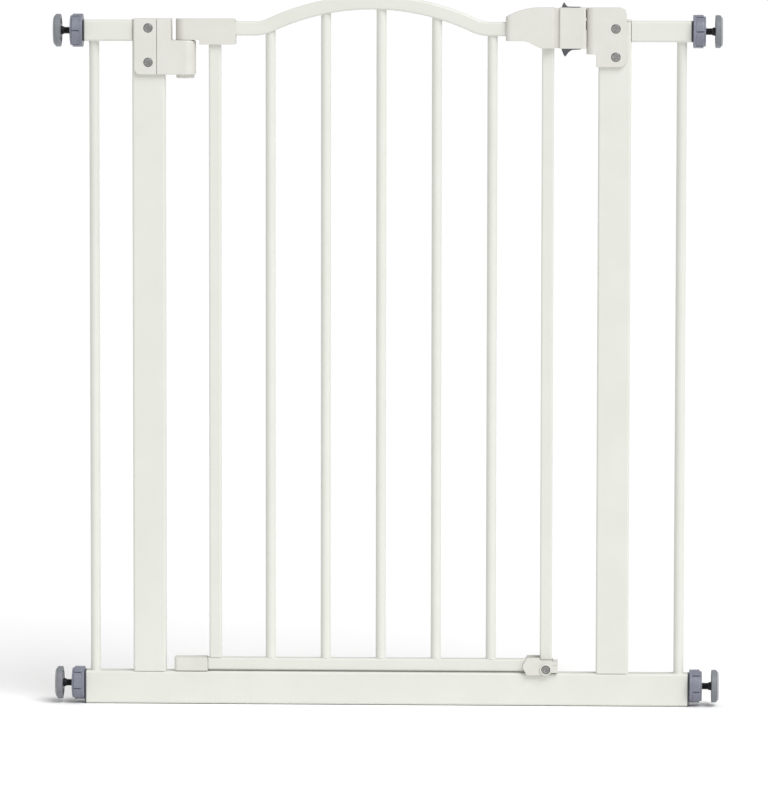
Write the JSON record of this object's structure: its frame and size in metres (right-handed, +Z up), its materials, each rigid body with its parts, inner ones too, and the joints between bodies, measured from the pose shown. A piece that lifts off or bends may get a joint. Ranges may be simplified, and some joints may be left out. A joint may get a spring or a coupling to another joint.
{
  "type": "pet gate",
  "caption": "Pressure-fit doorway gate for pets: a U-shaped steel frame on screw feet, with an arched barred door that lifts and swings on two pins and locks with a sliding latch.",
  "frame": {"origin": "on the floor under the bottom rail, midway between the two walls and in the middle of the frame's depth", "axes": "+X to the right, towards the latch side; +Y away from the person in front; +Z up"},
  "size_m": [0.7126, 0.0356, 0.76],
  "materials": {
    "white_enamel": "smooth gloss powder coat",
    "white_plastic": "fine satin moulding",
    "grey_plastic": "satin moulding",
    "dark_plastic": "satin moulding",
    "slider_plastic": "satin moulding",
    "black_steel": "black oxide",
    "bright_steel": "zinc plated",
    "pad_rubber": "matte"
  },
  "bodies": {
    "frame": {"bottom_rail": "white_enamel", "left_post": "white_enamel", "right_post": "white_enamel", "left_post_cap": "white_plastic", "right_post_cap": "white_plastic", "left_side_rail": "white_enamel", "right_side_rail": "white_enamel", "left_side_bar": "white_enamel", "right_side_bar": "white_enamel", "hinge_block": "white_plastic", "hinge_clamp": "white_plastic", "hinge_screw_upper": "bright_steel", "hinge_screw_lower": "bright_steel", "lower_hinge_bush": "dark_plastic", "catch_front_shell": "white_plastic", "catch_rear_shell": "white_plastic", "catch_screw_upper": "bright_steel", "catch_screw_lower": "bright_steel", "upper_left_rail_plug": "dark_plastic", "upper_right_rail_plug": "dark_plastic", "lower_left_rail_plug": "dark_plastic", "lower_right_rail_plug": "dark_plastic"},
    "hinge_pins": {"upper_hinge_pin": "bright_steel", "lower_hinge_pin": "bright_steel"},
    "door": {"door_top_rail": "white_enamel", "door_bottom_rail": "white_enamel", "hinge_stile": "white_enamel", "latch_stile": "white_enamel", "door_bar_1": "white_enamel", "door_bar_2": "white_enamel", "door_bar_3": "white_enamel", "door_bar_4": "white_enamel", "door_bar_5": "white_enamel", "upper_hinge_cap": "white_plastic", "lower_hinge_cap": "white_plastic", "handle_front_shell": "white_plastic", "handle_rear_shell": "white_plastic", "handle_screw_left": "bright_steel", "handle_screw_right": "bright_steel", "latch_spring": "bright_steel", "bottom_stop": "white_plastic", "bottom_stop_screw": "bright_steel"},
    "slider": {"latch_slider": "slider_plastic"},
    "upper_left_wheel": {"upper_left_hand_wheel": "grey_plastic"},
    "upper_left_screw_foot": {"upper_left_spindle": "black_steel", "upper_left_foot": "grey_plastic", "upper_left_wall_pad": "pad_rubber"},
    "upper_right_wheel": {"upper_right_hand_wheel": "grey_plastic"},
    "upper_right_screw_foot": {"upper_right_spindle": "black_steel", "upper_right_foot": "grey_plastic", "upper_right_wall_pad": "pad_rubber"},
    "lower_left_wheel": {"lower_left_hand_wheel": "grey_plastic"},
    "lower_left_screw_foot": {"lower_left_spindle": "black_steel", "lower_left_foot": "grey_plastic", "lower_left_wall_pad": "pad_rubber"},
    "lower_right_wheel": {"lower_right_hand_wheel": "grey_plastic"},
    "lower_right_screw_foot": {"lower_right_spindle": "black_steel", "lower_right_foot": "grey_plastic", "lower_right_wall_pad": "pad_rubber"}
  },
  "joints": [
    {"name": "door_lift", "type": "slide", "parent": "frame", "child": "hinge_pins", "axis": [0, 0, 1], "range_m": [0, 0.012]},
    {"name": "door_swing", "type": "hinge", "parent": "hinge_pins", "child": "door", "pos_m": [-0.2158, 0, 0.4], "axis": [0, 0, 1], "range_deg": [-90, 90]},
    {"name": "latch_slide", "type": "slide", "parent": "door", "child": "slider", "axis": [-1, 0, 0], "range_m": [0, 0.007], "stiffness_N_per_m": 200, "springref_m": -0.01, "deforming": ["latch_spring"]},
    {"name": "upper_left_wheel_spin", "type": "hinge", "parent": "frame", "child": "upper_left_wheel", "pos_m": [-0.3318, 0, 0.72225], "axis": [1, 0, 0], "range_deg": [-2165, 10085]},
    {"name": "upper_left_foot_slide", "type": "slide", "parent": "frame", "child": "upper_left_screw_foot", "axis": [-1, 0, 0], "range_m": [-0.0075, 0.035]},
    {"name": "upper_right_wheel_spin", "type": "hinge", "parent": "frame", "child": "upper_right_wheel", "pos_m": [0.3318, 0, 0.72225], "axis": [-1, 0, 0], "range_deg": [-2165, 10085]},
    {"name": "upper_right_foot_slide", "type": "slide", "parent": "frame", "child": "upper_right_screw_foot", "axis": [1, 0, 0], "range_m": [-0.0075, 0.035]},
    {"name": "lower_left_wheel_spin", "type": "hinge", "parent": "frame", "child": "lower_left_wheel", "pos_m": [-0.3318, 0, 0.021], "axis": [1, 0, 0], "range_deg": [-2165, 10085]},
    {"name": "lower_left_foot_slide", "type": "slide", "parent": "frame", "child": "lower_left_screw_foot", "axis": [-1, 0, 0], "range_m": [-0.0075, 0.035]},
    {"name": "lower_right_wheel_spin", "type": "hinge", "parent": "frame", "child": "lower_right_wheel", "pos_m": [0.3318, 0, 0.021], "axis": [-1, 0, 0], "range_deg": [-2165, 10085]},
    {"name": "lower_right_foot_slide", "type": "slide", "parent": "frame", "child": "lower_right_screw_foot", "axis": [1, 0, 0], "range_m": [-0.0075, 0.035]}
  ],
  "couplings": [
    {"joint": "upper_left_wheel_spin", "follows": "upper_left_foot_slide", "rad_per_m": 5026.5},
    {"joint": "upper_right_wheel_spin", "follows": "upper_right_foot_slide", "rad_per_m": 5026.5},
    {"joint": "lower_left_wheel_spin", "follows": "lower_left_foot_slide", "rad_per_m": 5026.5},
    {"joint": "lower_right_wheel_spin", "follows": "lower_right_foot_slide", "rad_per_m": 5026.5}
  ]
}
